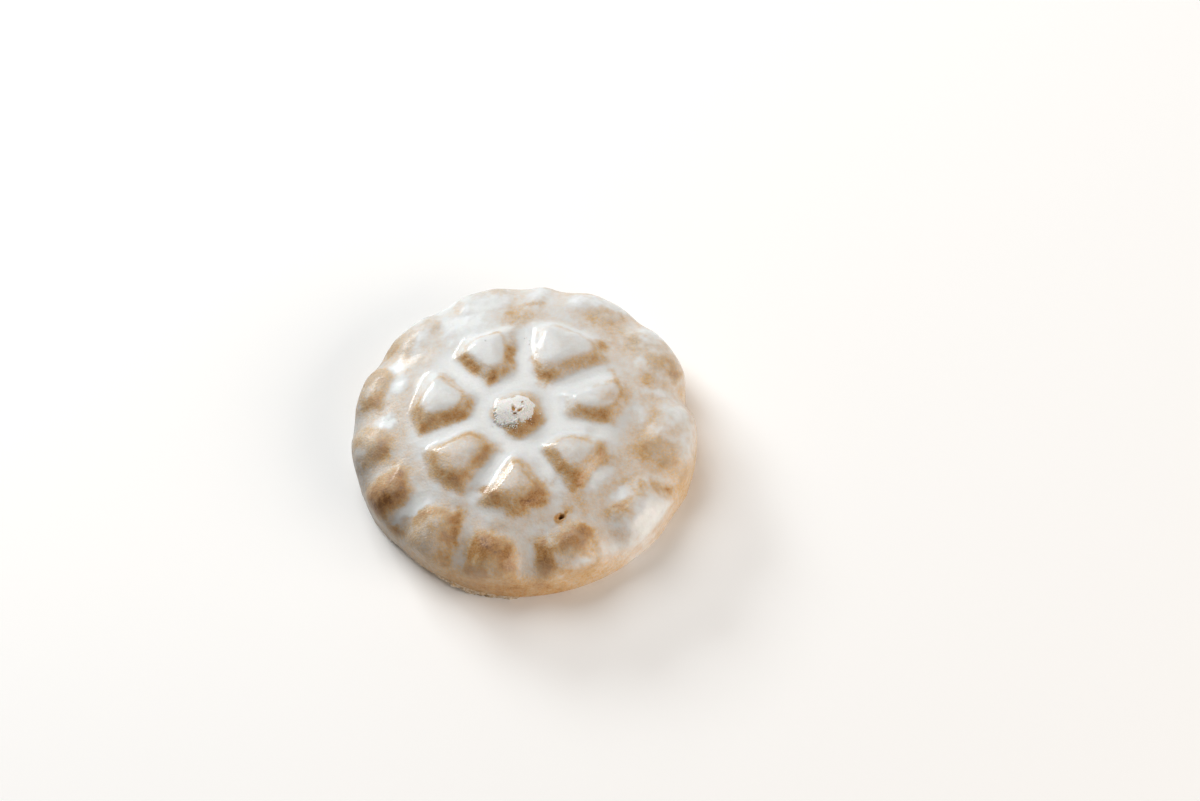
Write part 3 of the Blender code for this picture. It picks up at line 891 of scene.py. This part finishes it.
def dull_film(ground, brown):
    """How much of a dull film lies over the glaze."""
    front = ground.towards(FRONT)
    blown = smooth_ramp(0.5 + ground.stir(0.5, 1.2))
    outer = (1 - 0.8 * front) * (OUTER_FILM + ground.stir(0, 0.30)) + FRONT_FILM * front * blown
    film = FILM + ground.stir(0, 0.04)
    film += np.where(ground.outer, outer, RING_FILM) * ground.on_boss
    film = film * (1 - 0.6 * ground.side) + LEFT_FILM * ground.side * ground.towards(LEFT)
    clear = CLEAR_SHARE * bell(away_from(ground.angle, CLEAR_BOSS) / CLEAR_WIDTH)
    return film * (1 - clear) * smooth_ramp((1 - brown) / FILM_FADE)


def coat_shine(ground):
    """How well the glaze shines: less outside the ring of bosses, least at the left."""
    left = np.maximum(ground.towards(LEFT), ground.towards(REAR_LEFT))
    dim = beyond(ground.distance, *DIM_GLAZE) * (DIM_ALL + DIM_LEFT * left)
    return 1 - np.clip(dim - ground.stir(0, 0.10), 0, 1)


def painted_light_and_shade(ground):
    """Painted light and shade: how much lighter or darker the surface is made than its own colour,
    darker at the left and behind, lighter on the low front and right.
    """
    painted_shade = LEFT_PAINTED_SHADE * ground.towards(PAINTED_SHADE_LEFT, 2) + REAR_PAINTED_SHADE * ground.towards(REAR_LEFT)
    tone = 1 - painted_shade * beyond(ground.distance, *PAINTED_SHADE_ZONE)
    painted_lighter = LOW_FRONT_PAINTED_LIGHT * ground.towards(LOW_FRONT, 3) + RIGHT_PAINTED_LIGHT * ground.right ** 4
    tone += ground.side * painted_lighter
    tone += ANNULUS_PAINTED_LIGHT * ground.annulus * ground.towards(PAINTED_LIGHT_SIDE)
    for angle, distance, half_width, reach, strength in PAINTED_SHADE_SPOTS:
        painted_shade_spot = bell(away_from(ground.angle, angle) / half_width)
        tone -= strength * painted_shade_spot * bell((ground.distance - distance) / reach)
    return tone


def glaze_fields(form, x, y):
    """How brown the surface looks, from 0 in pooled glaze to 1 in the darkest dough, with painted
    shade in the flanks' brown band and painted highlights in some pale patches, how much of a dull
    film lies over it, how well it shines, and the painted light and shade that lighten or darken
    it."""
    ground = Ground(form, x, y)
    brown = plain_brown(ground) + edge_brown_and_shade(form, ground)
    brown += stains_and_highlights(x, y) * (1 + ground.stir(0, 0.20, 0.30))
    brown = brown * (1 - ground.side) + side_brown(ground) * ground.side
    bare = pinhole_sink(x, y)[1]
    brown = brown * (1 - bare) + BARE_BROWN * bare
    brown = np.minimum(brown, MUCH_BROWN + MUCH_BROWN_SHARE * (brown - MUCH_BROWN))
    return {
        "brown": np.clip(brown, 0, 1),
        "film": np.clip(dull_film(ground, brown), 0, 1),
        "shine": coat_shine(ground),
        "tone": np.clip(painted_light_and_shade(ground), 0, LIGHTEST_PAINTED_LIGHT),
    }


# ---- meshes


def crowded(x, y):
    """The flat pattern's points drawn together round the small features."""
    for angle, distance, reach, pull in CROWDED_SPOTS:
        spot_x, spot_y = polar(angle, distance)
        away = (x - spot_x) ** 2 + (y - spot_y) ** 2
        hold = pull * np.exp(-away / reach ** 2)
        x = x - (x - spot_x) * hold
        y = y - (y - spot_y) * hold
    return x, y


def ring_starts(counts):
    """Index of the first vertex of each ring."""
    return np.concatenate([[0], np.cumsum(counts)[:-1]]).tolist()


def stitched(inner_start, inner_count, outer_start, outer_count):
    """Triangles that fill the band between two rings of vertices."""
    faces = []
    near = far = 0
    while near < inner_count or far < outer_count:
        here = inner_start + near % inner_count
        there = outer_start + far % outer_count
        outer_turn = (far + 1) * inner_count <= (near + 1) * outer_count
        if far < outer_count and (inner_count == 1 or outer_turn):
            far += 1
            faces.append((here, there, outer_start + far % outer_count))
        elif inner_count > 1:
            near += 1
            faces.append((here, there, inner_start + near % inner_count))
        else:
            break
    return faces


def ring_points(radius, count):
    """Points of one ring."""
    angle = 2 * math.pi * np.arange(count) / count
    return radius * np.cos(angle), radius * np.sin(angle)


def top_and_side(form):
    """Rings of the flat pattern from the middle to the base's edge: x, y and ring sizes."""
    run = whole_run(form)
    count = round(run / RING_STEP)
    sizes = [min(max(SPOKES_PER_RING * number, 1), MOST_SPOKES) for number in range(count + 1)]
    rings = [ring_points(run * number / count, size) for number, size in enumerate(sizes)]
    x, y = (np.concatenate(part) for part in zip(*rings))
    return x, y, sizes


def underside(edge):
    """Rings of the flat base inside its edge: points and ring sizes."""
    full_turn = 2 * math.pi
    far = np.hypot(edge[:, 0], edge[:, 1])
    turn = np.arctan2(edge[:, 1], edge[:, 0]) % full_turn
    order = np.argsort(turn)
    count = round(far[0] / BASE_STEP)
    points = []
    sizes = []
    for number in range(1, count + 1):
        share = 1 - number / count
        size = max(round(len(edge) * share ** BASE_THINNING / BASE_SPARSE), LEAST_SPOKES)
        size = size if number < count else 1
        angle = full_turn * np.arange(size) / size
        reach = share * np.interp(angle, turn[order], far[order], period=full_turn)
        x = reach * np.cos(angle)
        y = reach * np.sin(angle)
        pores = np.clip(noise("pores", x, y), 0, 1) ** 2
        points.append(np.stack([x, y, PORE_DEPTH * pores + BASE_LIFT], axis=-1))
        sizes.append(size)
    return np.concatenate(points), sizes


def underside_fields(form, points):
    """The glaze's fields on the baked underside, with glaze that crept in from its edge."""
    x, y = points[:, 0], points[:, 1]
    inside = form.base_radius * outline_stretch(form, np.arctan2(y, x)) - np.hypot(x, y)
    inside += CREPT_WANDER * noise("creep", x, y)
    crept = smooth_ramp(CREPT_REACH - inside / CREPT_RUN)
    baked = BASE_BROWN + BAKE_UNREST * noise("bake", x, y) + SPECK_UNREST * noise("speck", x, y)
    return {
        "brown": np.clip(baked * (1 - crept) + CREPT_BROWN * crept, 0, 1),
        "film": np.zeros(len(x)),
        "shine": np.full(len(x), BASE_SHINE),
        "tone": np.ones(len(x)),
    }


def new_object(name, points, faces, material):
    """A smooth-shaded mesh object in the scene."""
    mesh = bpy.data.meshes.new(name)
    mesh.from_pydata(points.tolist(), [], faces)
    mesh.validate()
    mesh.shade_smooth()
    mesh.materials.append(material)
    item = bpy.data.objects.new(name, mesh)
    bpy.context.scene.collection.objects.link(item)
    return item


def add_field(item, name, values):
    """Store one number for each vertex, which the material reads."""
    field = item.data.attributes.new(name, "FLOAT", "POINT")
    field.data.foreach_set("value", np.asarray(values, dtype=np.float32))


def body_surface(form, x, y, rise=0.0):
    """Points on the finished body, or a given rise above it, in the cookie's own place."""
    sink, _ = pinhole_sink(x, y)
    own = relief(form, x, y) + glaze_swell(x, y) + foot_swell(form, x, y) - sink
    return surface_points(form, x, y, own + rise) + home_shift(form)


def home_shift(form):
    """Move that lays the box of the smooth form on the cookie's own box."""
    x, y, _ = top_and_side(form)
    outline = surface_points(form, x, y, relief(form, x, y))
    shift = (np.array(BOX_LOW) + np.array(BOX_HIGH) - outline.min(axis=0) - outline.max(axis=0)) / 2
    shift[2] = BOX_LOW[2]
    return shift


def cookie_body(form, material):
    """The glazed dome with its bosses, pinhole and baked underside."""
    x, y, sizes = top_and_side(form)
    x, y = crowded(x, y)
    top = body_surface(form, x, y)
    edge_start = len(x) - sizes[-1]
    top[:, 2] = np.maximum(top[:, 2], BOX_LOW[2] + EDGE_LIFT)
    top[edge_start:, 2] = BOX_LOW[2]
    base, base_sizes = underside(top[edge_start:])
    counts = sizes + base_sizes
    rings = list(zip(ring_starts(counts), counts))
    faces = []
    for number, (one, next_one) in enumerate(zip(rings, rings[1:]), 1):
        if number < len(sizes):
            faces += stitched(*one, *next_one)
        else:
            faces += [face[::-1] for face in stitched(*next_one, *one)]
    item = new_object("cookie_body", np.concatenate([top, base]), faces, material)
    below = underside_fields(form, base)
    for name, values in glaze_fields(form, x, y).items():
        add_field(item, name, np.concatenate([values, below[name]]))
    return item


def crust_hollows(u, v):
    """Where the crust is broken open, and where its rim curls up round that."""
    opened = np.zeros_like(u)
    curl = np.zeros_like(u)
    for hollow_x, hollow_y, length, width, turn in CRUST_HOLLOWS:
        along, across = turned(u - hollow_x, v - hollow_y, turn)
        away = np.hypot(along / length, across / width) + RIM_RAGGED * noise("rims", u, v)
        opened = np.maximum(opened, smooth_ramp(HOLLOW_EDGE - away))
        curl = np.maximum(curl, bell((away - CURL_PLACE) / CURL_WIDTH))
    return opened, curl


def sugar_crust(form, material):
    """The grainy white crust that broke up on the middle boss."""
    u, v = np.meshgrid(*(
        np.arange(-CRUST_MARGIN * half, CRUST_MARGIN * half, CRUST_CELL) for half in CRUST_HALF))
    half_x, half_y = CRUST_HALF
    far = np.abs(u / half_x) ** CRUST_SQUARENESS + np.abs(v / half_y) ** CRUST_SQUARENESS
    inside = 1 - far ** (1 / CRUST_SQUARENESS)
    lower = smooth_ramp(0.5 - (0.5 * u + v) / CRUST_LOWER_RUN)
    inside += CRUST_RAGGED * (0.5 + 0.8 * lower) * noise("bays", u, v)
    inside += CRUST_RAGGED * (0.2 + 0.7 * lower) * noise("teeth", u, v)
    opened, curl = crust_hollows(u, v)
    broken = np.clip(curl + smooth_ramp(1 - inside / 0.22) * (0.3 + 0.7 * lower), 0, 1)
    grains = noise("grains", u, v) + noise("clumps", u, v)
    grains = 0.75 + (0.05 + 0.30 * broken) * grains + 0.4 * curl
    rise = CRUST_THICKNESS * smooth_ramp(inside / (0.34 - 0.24 * lower)) * np.clip(grains, 0.1, 2)
    rise *= (0.35 + 0.65 * lower) * (1 - 0.85 * opened)
    rise -= CRUST_SUNK * smooth_ramp(-inside / 0.06)
    place_x, place_y = CRUST_PLACE
    points = body_surface(form, u + place_x, v + place_y, rise)
    item = sheet("sugar_crust", points, inside > -CRUST_OVERLAP, material)
    add_field(item, "hollow", opened[inside > -CRUST_OVERLAP])
    return item


def sheet(name, points, wanted, material):
    """A grid of points as a mesh, only where it is wanted."""
    number = np.full(wanted.shape, -1)
    number[wanted] = np.arange(wanted.sum())
    corners = np.stack([
        number[:-1, :-1], number[:-1, 1:], number[1:, 1:], number[1:, :-1]], axis=-1)
    faces = corners[(corners >= 0).all(axis=-1)]
    return new_object(name, points[wanted], faces.tolist(), material)


def lump(centre, across, draw, detail, uneven):
    """Points and faces of one small uneven lump."""
    mesh = bmesh.new()
    bmesh.ops.create_icosphere(mesh, subdivisions=detail, radius=0.5)
    points = np.array([vertex.co[:] for vertex in mesh.verts])
    faces = [[vertex.index for vertex in face.verts] for face in mesh.faces]
    mesh.free()
    points *= across * (1 + uneven * draw.uniform(-1, 1, (len(points), 1)))
    points *= 1 + uneven * draw.uniform(-1, 1, (1, 3))
    return points + centre, faces


def strewn(form, name, rows, seed, detail, uneven, sunk, material):
    """Small lumps scattered over the body around the given places."""
    draw = np.random.default_rng(seed)
    places = []
    for angle, distance, number, scatter, across in rows:
        spot_x, spot_y = polar(angle, distance)
        x = spot_x + draw.normal(0, scatter, number)
        y = spot_y + draw.normal(0, scatter, number)
        places.append(np.stack([x, y, across * draw.uniform(LEAST_LUMP, 1.0, number)]))
    x, y, size = np.concatenate(places, axis=1)
    centres = body_surface(form, x, y, size * (0.5 - sunk))
    points = []
    faces = []
    start = 0
    for centre, width in zip(centres, size):
        lump_points, lump_faces = lump(centre, width, draw, detail, uneven)
        points.append(lump_points)
        faces += [[corner + start for corner in face] for face in lump_faces]
        start += len(lump_points)
    return new_object(name, np.concatenate(points), faces, material)


def flaky_ledge(form, material):
    """Thin torn flakes of dough and glaze at the edge of the base."""
    run = whole_run(form)
    sides = len(FLAKE_SECTION)
    corners = []
    faces = []
    start = 0
    for row, (first, last, level, reach, thickness) in enumerate(FLAKES):
        length = math.radians(last - first) * form.base_radius
        count = round(length / FLAKE_STEP)
        share = np.arange(count + 1) / count
        angle = np.radians(first + (last - first) * share)
        along = share * length
        level_line = np.zeros_like(along)
        torn = 0.70 + 0.40 * noise("torn", along, level_line + FLAKE_SHIFT * row)
        wander = patches(along, level_line, FLAKE_WANDER_PITCH, FLAKE_WANDER_SEED + row)
        taper = smooth_ramp(share / FLAKE_TAPER) * smooth_ramp((1 - share) / FLAKE_TAPER)
        out = reach * np.clip(torn, 0.05, 1.4) * taper
        for lift, part in FLAKE_SECTION:
            height = lifted_edge(angle) + level + FLAKE_WANDER * wander + lift * thickness
            rise = np.where(part < 0, -FLAKE_ROOT, out * part)
            distance = run - np.maximum(height, FLOOR_GAP)
            corners.append(np.stack([distance * np.cos(angle), distance * np.sin(angle), rise]))
        size = count + 1
        for strip in range(sides):
            near = start + strip * size
            far = start + (strip + 1) % sides * size
            faces += [(near + step, near + step + 1, far + step + 1, far + step)
                      for step in range(count)]
        faces.append([start + strip * size for strip in range(sides)])
        faces.append([start + strip * size + count for strip in reversed(range(sides))])
        start += sides * size
    points = body_surface(form, *np.concatenate(corners, axis=1))
    points[:, 2] = np.maximum(points[:, 2], BOX_LOW[2] + FLOOR_GAP)
    return new_object("flaky_ledge", points, faces, material)


# ---- materials


class Nodes:
    """Short ways to add and join shader nodes."""

    def __init__(self, name):
        self.material = bpy.data.materials.new(name)
        self.material.use_nodes = True
        self.tree = self.material.node_tree
        self.shader = self.tree.nodes["Principled BSDF"]

    def put(self, socket, value):
        """Join a value's socket to an input, or set the input to a number or colour."""
        if isinstance(value, bpy.types.NodeSocket):
            self.tree.links.new(value, socket)
        else:
            socket.default_value = value

    def finish(self, **inputs):
        """Set or join the shader's inputs, named with _ for a space."""
        for name, value in inputs.items():
            self.put(self.shader.inputs[name.replace("_", " ")], value)

    def add(self, kind, output, inputs=(), **settings):
        """One output of a new node with the given inputs and settings."""
        node = self.tree.nodes.new(kind)
        for name, value in settings.items():
            setattr(node, name, value)
        for name, value in dict(inputs).items():
            self.put(node.inputs[name], value)
        return node.outputs[output]

    def math(self, operation, first, second, clamp=False):
        return self.add(
            "ShaderNodeMath", 0, {0: first, 1: second}, operation=operation, use_clamp=clamp)

    def plus(self, first, second, clamp=False):
        return self.math("ADD", first, second, clamp)

    def times(self, first, second, clamp=False):
        return self.math("MULTIPLY", first, second, clamp)

    def mix(self, factor, first, second, blend="MIX"):
        return self.add(
            "ShaderNodeMix", 2, {0: factor, 6: first, 7: second}, data_type="RGBA",
            blend_type=blend)

    def field(self, name):
        return self.add("ShaderNodeAttribute", "Fac", attribute_name=name)

    def noise(self, pitch, detail, rough):
        """Noise around zero that lies fixed in the object."""
        value = self.add("ShaderNodeTexNoise", "Fac", {
            "Vector": self.add("ShaderNodeTexCoord", "Object"),
            "Scale": 1 / pitch, "Detail": detail, "Roughness": rough})
        return self.math("SUBTRACT", value, 0.5)

    def ramp(self, value, low, high):
        """Smooth rise from 0 at the low value to 1 at the high one."""
        inputs = {"Value": value, "From Min": low, "From Max": high}
        return self.add("ShaderNodeMapRange", "Result", inputs, interpolation_type="SMOOTHSTEP")

    def shades(self, value, stops):
        """Colours at the given values, blended between them."""
        node = self.tree.nodes.new("ShaderNodeValToRGB")
        elements = node.color_ramp.elements
        while len(elements) < len(stops):
            elements.new(0.5)
        for element, (position, colour) in zip(elements, stops):
            element.position = position
            element.color = tuple(colour)
        self.put(node.inputs["Fac"], value)
        return node.outputs["Color"]

    def bump(self, height, distance, under=None):
        """Normal of a relief so deep, on top of another one."""
        inputs = {"Distance": distance, "Strength": 1.0, "Height": height}
        if under is not None:
            inputs["Normal"] = under
        return self.add("ShaderNodeBump", "Normal", inputs)


def glazed_dough(finish):
    """Thin white glaze over browned dough: white where it pooled, brown where it ran off; with
    painted shade in the flanks' brown band, painted highlights in some pale patches, and painted
    light and shade over it all.
    """
    make = Nodes("glazed_dough")
    grain = make.math("SUBTRACT", make.ramp(make.noise(0.00038, 2.0, 0.7), -0.13, 0.13), 0.5)
    speck = make.noise(0.0010, 2.0, 0.6)
    blotch = make.noise(0.0030, 3.0, 0.55)
    brown = make.field("brown")
    half = make.ramp(brown, 0.10, 0.50)

    stir = make.plus(make.times(speck, 0.42), make.times(blotch, 0.26))
    stir = make.plus(stir, make.times(grain, 0.21))
    unrest = make.plus(make.times(half, 0.86), 0.14)
    brown = make.plus(brown, make.times(stir, unrest), clamp=True)
    colour = make.shades(brown, (
        (0.00, finish.pool), (0.16, finish.glaze), (0.36, finish.cream),
        (0.56, finish.tan), (0.80, finish.brown), (1.00, finish.dark)))

    haze = make.times(make.ramp(make.noise(0.0052, 2.0, 0.5), 0.02, 0.20), 0.12)
    haze = make.plus(haze, make.times(make.field("film"), 0.50), clamp=True)
    dappled = make.plus(make.times(speck, 2.6), 1.0)
    haze = make.times(make.times(haze, dappled), half, clamp=True)
    colour = make.mix(haze, colour, tuple(finish.haze))
    # Painted light and shade: a field lightens or darkens the colour, together with the grain's
    # random mottle.
    mottle = make.times(grain, make.times(half, 0.28))
    tone = make.plus(mottle, make.field("tone"))

    pitted = make.times(make.noise(0.00045, 2.0, 0.5), make.plus(0.20, half))
    pores = make.bump(pitted, 0.00012)
    waves = make.bump(make.noise(0.0024, 2.0, 0.5), 0.00020, under=pores)
    make.finish(
        Base_Color=make.mix(1.0, colour, tone, "MULTIPLY"),
        Roughness=finish.roughness,
        Subsurface_Weight=0.30,
        Subsurface_Radius=(1.0, 0.62, 0.40),
        Subsurface_Scale=0.0008,
        Coat_Weight=make.times(make.field("shine"), finish.gloss),
        Coat_Roughness=0.20,
        Coat_IOR=1.45,
        Specular_IOR_Level=0.2,
        Normal=waves)
    return make.material


def crumbly_sugar(finish):
    """Dry grainy sugar with painted shade between its grains, darker in the hollow that shows the
    dough.
    """
    make = Nodes("crumbly_sugar")
    grain = make.noise(0.00030, 3.0, 0.7)
    # Painted shade: the sugar's colour darkens where the grain's bump dips between grains.
    unshaded = make.ramp(grain, -0.26, -0.02)
    colour = make.mix(unshaded, tuple(finish.sugar_painted_shade), tuple(finish.sugar))
    make.finish(
        Base_Color=make.mix(make.field("hollow"), colour, tuple(finish.brown)),
        Roughness=0.75,
        Specular_IOR_Level=0.3,
        Subsurface_Weight=0.2,
        Subsurface_Scale=0.0004,
        Normal=make.bump(grain, 0.00012))
    return make.material


def bead_glaze(finish):
    """Smooth clear-white beads of set glaze."""
    make = Nodes("bead_glaze")
    creamy = make.ramp(make.noise(0.0040, 1.0, 0.5), -0.15, 0.15)
    make.finish(
        Base_Color=make.mix(creamy, tuple(finish.pool), tuple(finish.cream)),
        Roughness=0.22,
        Coat_Weight=0.6,
        Coat_Roughness=0.12,
        Subsurface_Weight=0.25,
        Subsurface_Scale=0.0004)
    return make.material


def torn_flakes(finish):
    """Dry pale flakes, mottled with toasted tan."""
    make = Nodes("torn_flakes")
    grain = make.noise(0.00050, 3.0, 0.6)
    pale = make.ramp(grain, -0.18, 0.18)
    make.finish(
        Base_Color=make.mix(pale, tuple(finish.tan), tuple(finish.flake)),
        Roughness=0.8,
        Specular_IOR_Level=0.25,
        Normal=make.bump(grain, 0.00015))
    return make.material


def floor_paper(stage):
    """Plain pale paper."""
    make = Nodes("studio_floor")
    make.finish(Base_Color=tuple(stage.floor), Roughness=0.9, Specular_IOR_Level=0.1)
    return make.material


# ---- operators


class COOKIE_OT_body(Operator):
    """Make the glazed body of the cookie in place of the plain solid"""

    bl_idname = "cookie.body"
    bl_label = "Glazed body"

    def execute(self, context):
        scene = context.scene
        item = cookie_body(scene.cookie_form, glazed_dough(scene.cookie_finish))
        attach(item, BODY)
        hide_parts(COOKIE_NODE)
        return {"FINISHED"}


class COOKIE_OT_sugar(Operator):
    """Make the crumbled sugar crust on the middle boss and its loose crumbs"""

    bl_idname = "cookie.sugar"
    bl_label = "Sugar crust and crumbs"

    def execute(self, context):
        form = context.scene.cookie_form
        material = crumbly_sugar(context.scene.cookie_finish)
        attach(sugar_crust(form, material), BODY)
        crumbs = strewn(form, "sugar_crumbs", CRUMBS, seed=CRUMB_SEED, detail=1, uneven=0.3,
                        sunk=0.15, material=material)
        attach(crumbs, BODY)
        return {"FINISHED"}


class COOKIE_OT_beads(Operator):
    """Make the small beads of set glaze"""

    bl_idname = "cookie.beads"
    bl_label = "Glaze beads"

    def execute(self, context):
        form = context.scene.cookie_form
        material = bead_glaze(context.scene.cookie_finish)
        beads = strewn(form, "glaze_beads", BEADS, seed=BEAD_SEED, detail=2, uneven=0.06,
                       sunk=0.25, material=material)
        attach(beads, BODY)
        return {"FINISHED"}


class COOKIE_OT_flakes(Operator):
    """Make the torn flakes at the edge of the base"""

    bl_idname = "cookie.flakes"
    bl_label = "Torn flakes"

    def execute(self, context):
        material = torn_flakes(context.scene.cookie_finish)
        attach(flaky_ledge(context.scene.cookie_form, material), BODY)
        return {"FINISHED"}


def soft_box(name, power, size, towards_light, distance, colour):
    """A soft box, so wide and so high, that looks at the middle of the floor."""
    data = bpy.data.lights.new(name, "AREA")
    data.shape = "RECTANGLE"
    data.size, data.size_y = size
    data.energy = power
    data.color = colour
    light = bpy.data.objects.new(name, data)
    bpy.context.scene.collection.objects.link(light)
    direction = Vector(towards_light).normalized()
    light.location = direction * distance
    light.rotation_euler = (-direction).to_track_quat("-Z", "Y").to_euler()


def room_light(stage):
    """Even light from the room all round."""
    world = bpy.data.worlds.new("white_room")
    world.use_nodes = True
    sky = world.node_tree.nodes["Background"]
    sky.inputs["Color"].default_value = tuple(stage.sky_colour)
    sky.inputs["Strength"].default_value = stage.sky
    bpy.context.scene.world = world


def studio_camera(stage):
    """Camera at the view's elevation and roll, with the cookie left of and below the middle."""
    back = Vector((0, -math.cos(stage.elevation), math.sin(stage.elevation)))
    right = Vector((1, 0, 0))
    up = back.cross(right)
    turned_right = right * math.cos(stage.roll) + up * math.sin(stage.roll)
    turned_up = up * math.cos(stage.roll) - right * math.sin(stage.roll)
    place = back * stage.distance - turned_right * stage.aside[0] - turned_up * stage.aside[1]
    place -= Vector((*PATTERN_SHIFT, 0))
    data = bpy.data.cameras.new("studio_camera")
    data.lens_unit = "FOV"
    data.angle = stage.field
    camera = bpy.data.objects.new("studio_camera", data)
    bpy.context.scene.collection.objects.link(camera)
    axes = Matrix((turned_right, turned_up, back)).transposed()
    camera.matrix_world = Matrix.Translation(place) @ axes.to_4x4()
    bpy.context.scene.camera = camera


class COOKIE_OT_stage(Operator):
    """Make the floor, the soft lights and the camera"""

    bl_idname = "cookie.stage"
    bl_label = "Stage"

    def execute(self, context):
        stage = context.scene.cookie_stage
        half = FLOOR_HALF
        corners = np.array([(-half, -half, 0), (half, -half, 0), (half, half, 0), (-half, half, 0)])
        floor = new_object("studio_floor", corners, [(0, 1, 2, 3)], floor_paper(stage))
        for name, power, size, towards_light, distance, colour in SOFT_BOXES:
            soft_box(name, getattr(stage, power), size, towards_light, distance, colour)
        room_light(stage)
        context.scene.view_settings.view_transform = "Standard"
        studio_camera(stage)
        return {"FINISHED"}


class COOKIE_PT_panel(Panel):
    """Buttons for each piece of the cookie and its stage"""

    bl_idname = "COOKIE_PT_panel"
    bl_label = "Gingerbread cookie"
    bl_space_type = "VIEW_3D"
    bl_region_type = "UI"
    bl_category = "Cookie"

    def draw(self, context):
        for operator in OPERATORS:
            self.layout.operator(operator.bl_idname)


OPERATORS = (COOKIE_OT_body, COOKIE_OT_sugar, COOKIE_OT_beads, COOKIE_OT_flakes, COOKIE_OT_stage)
GROUPS = {
    "cookie_form": CookieForm,
    "cookie_finish": CookieFinish,
    "cookie_stage": CookieStage,
}


def register():
    for name, group in GROUPS.items():
        bpy.utils.register_class(group)
        setattr(bpy.types.Scene, name, PointerProperty(type=group))
    for item in (*OPERATORS, COOKIE_PT_panel):
        bpy.utils.register_class(item)


def unregister():
    for item in reversed((*OPERATORS, COOKIE_PT_panel)):
        bpy.utils.unregister_class(item)
    for name, group in GROUPS.items():
        delattr(bpy.types.Scene, name)
        bpy.utils.unregister_class(group)


def main():
    register()
    bpy.ops.cookie.body()
    bpy.ops.cookie.sugar()
    bpy.ops.cookie.beads()
    bpy.ops.cookie.flakes()
    bpy.ops.cookie.stage()


if __name__ == "__main__":
    main()
